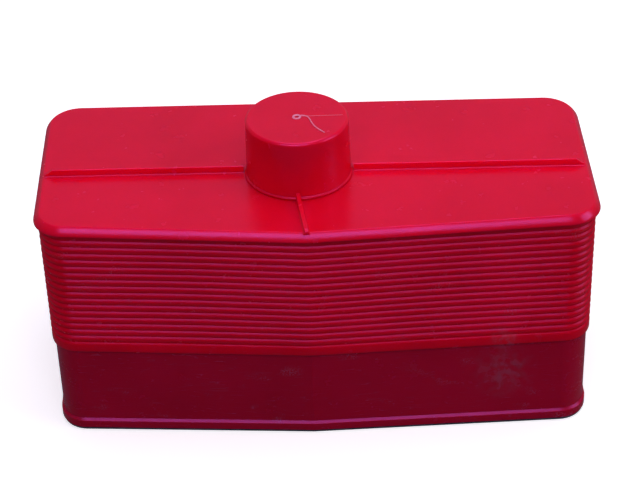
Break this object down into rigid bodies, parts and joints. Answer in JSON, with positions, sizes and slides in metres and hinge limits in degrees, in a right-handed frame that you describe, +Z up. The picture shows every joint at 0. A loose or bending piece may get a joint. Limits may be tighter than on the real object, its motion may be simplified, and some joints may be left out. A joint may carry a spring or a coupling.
{
  "type": "water filled barrier block",
  "caption": "Ridged red water-fillable barrier block with a shallow V front, rounded rim, plain screw cap and recessed drain plug.",
  "frame": {"origin": "middle of the underside, on the floor", "axes": "+X along the length, +Z up, the point of the V faces -Y and the drain faces +Y"},
  "size_m": [0.3237, 0.144, 0.1823],
  "materials": {
    "red_shell": "semi-gloss moulded",
    "seal_rubber": "matte",
    "foot_rubber": "matte",
    "liner_foam": "matte",
    "zinc_steel": "zinc plated",
    "insert_brass": "satin",
    "black_plastic": "satin"
  },
  "bodies": {
    "barrier": {"lid": "red_shell", "lid_gasket": "seal_rubber", "ridged_sleeve": "red_shell", "lower_tank": "red_shell", "sleeve_gasket": "seal_rubber", "foot_ring": "foot_rubber", "baffle_left": "red_shell", "baffle_right": "red_shell", "tie_bolts": "zinc_steel", "tie_washers": "zinc_steel", "lid_inserts": "insert_brass", "pillar_seals": "seal_rubber", "drain_bush": "black_plastic", "drain_gasket": "seal_rubber", "drain_nut": "black_plastic"},
    "cap_lift": {"cap_liner": "liner_foam"},
    "cap": {"filler_cap": "red_shell"},
    "plug_lift": {"drain_ring": "seal_rubber"},
    "plug": {"drain_plug": "black_plastic"}
  },
  "joints": [
    {"name": "cap_rise", "type": "slide", "parent": "barrier", "child": "cap_lift", "axis": [0, 0, 1], "range_m": [0, 0.014]},
    {"name": "cap_turn", "type": "hinge", "parent": "cap_lift", "child": "cap", "pos_m": [-0.006, -0.007, 0.146], "axis": [0, 0, 1], "range_deg": [0, 1260]},
    {"name": "plug_slide", "type": "slide", "parent": "barrier", "child": "plug_lift", "axis": [0, 1, 0], "range_m": [0, 0.0075]},
    {"name": "plug_turn", "type": "hinge", "parent": "plug_lift", "child": "plug", "pos_m": [0, 0.0552, 0.027], "axis": [0, 1, 0], "range_deg": [0, 1080]}
  ],
  "couplings": [
    {"joint": "cap_rise", "follows": "cap_turn", "m_per_rad": 0.00063662},
    {"joint": "plug_slide", "follows": "plug_turn", "m_per_rad": 0.00039789}
  ]
}
